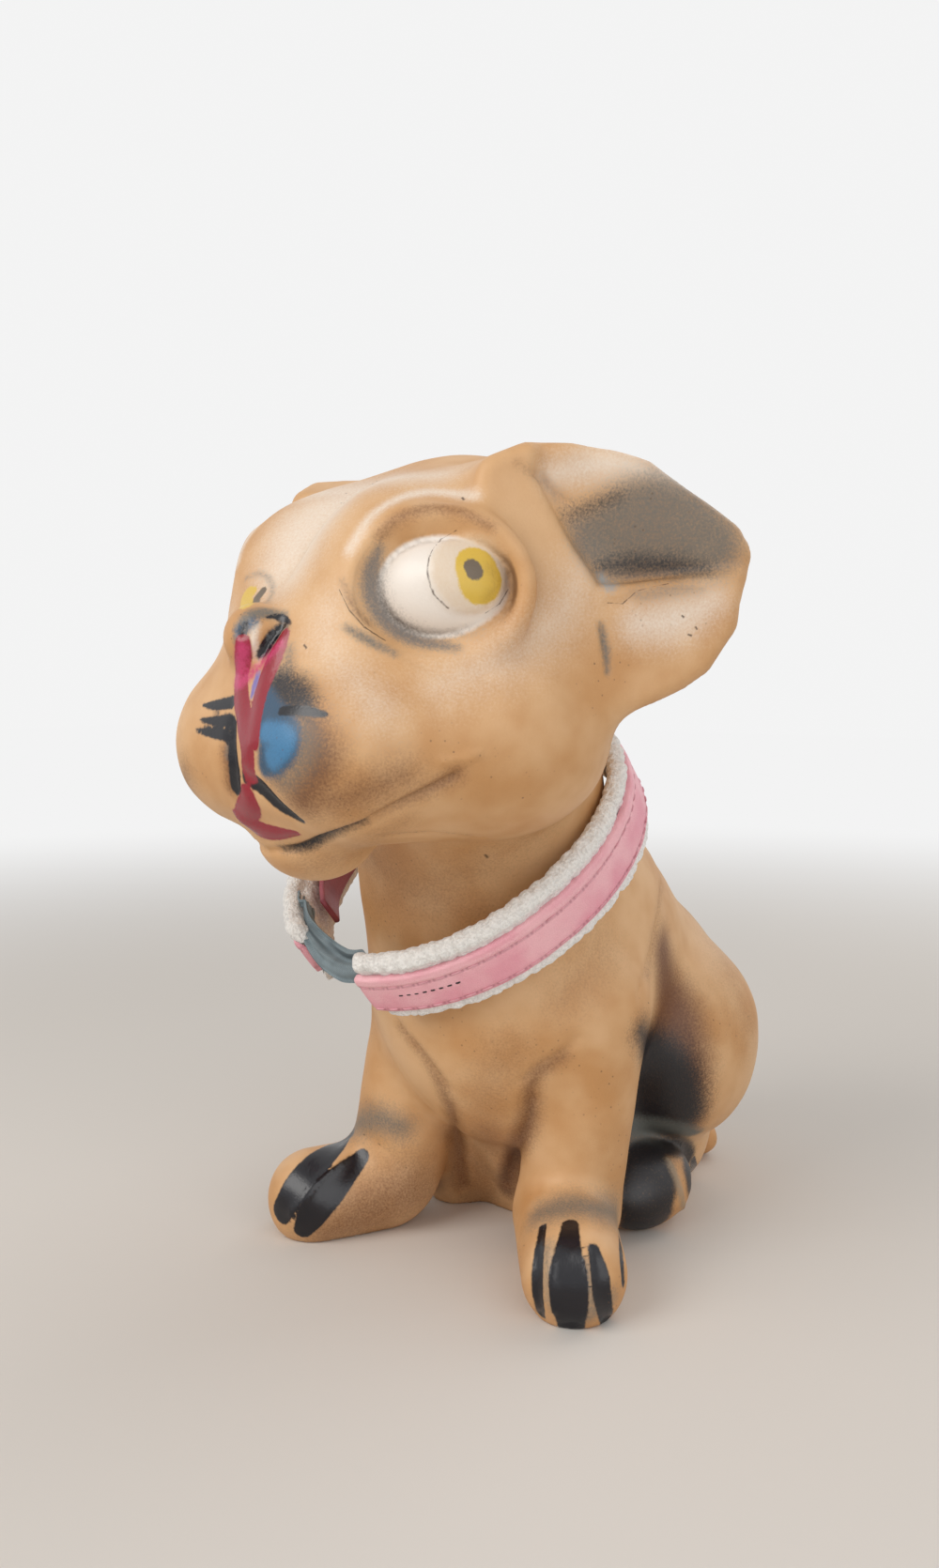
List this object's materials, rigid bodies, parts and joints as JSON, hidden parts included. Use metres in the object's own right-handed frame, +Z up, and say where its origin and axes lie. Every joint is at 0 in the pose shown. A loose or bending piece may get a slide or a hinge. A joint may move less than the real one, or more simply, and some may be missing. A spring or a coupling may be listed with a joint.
{
  "type": "chalkware puppy figure",
  "caption": "Seated comic puppy in hollow painted plaster, head turned aside, wearing a loose fleece-lined strap collar with an elastic insert.",
  "frame": {"origin": "on the flat base, under the middle of the body, at the base_face mount", "axes": "+Z up; the body faces -Y; +X is the figure's own left side"},
  "size_m": [0.1467, 0.2191, 0.232],
  "materials": {
    "painted_plaster": "matt airbrushed paint on plaster, satin with age",
    "pink_leather": "smooth dyed leather, satin",
    "white_fleece": "short curly fleece",
    "grey_elastic": "puckered woven elastic",
    "thread": "sewing thread",
    "dark_thread": "sewing thread"
  },
  "bodies": {
    "figure": {"plaster_casting": "painted_plaster"},
    "collar": {"collar_strap": "pink_leather", "collar_lining": "white_fleece", "elastic_insert": "grey_elastic", "strap_tail": "pink_leather", "upper_stitch_row": "thread", "lower_stitch_row": "thread", "near_end_stitch_row": "dark_thread", "far_end_stitch_row": "dark_thread"}
  },
  "joints": [
    {"name": "collar_turn", "type": "hinge", "parent": "figure", "child": "collar", "pos_m": [-0.0086, -0.0423, 0.1194], "axis": [-0.1392, -0.6097, 0.7803], "range_deg": [-25, 25]}
  ]
}
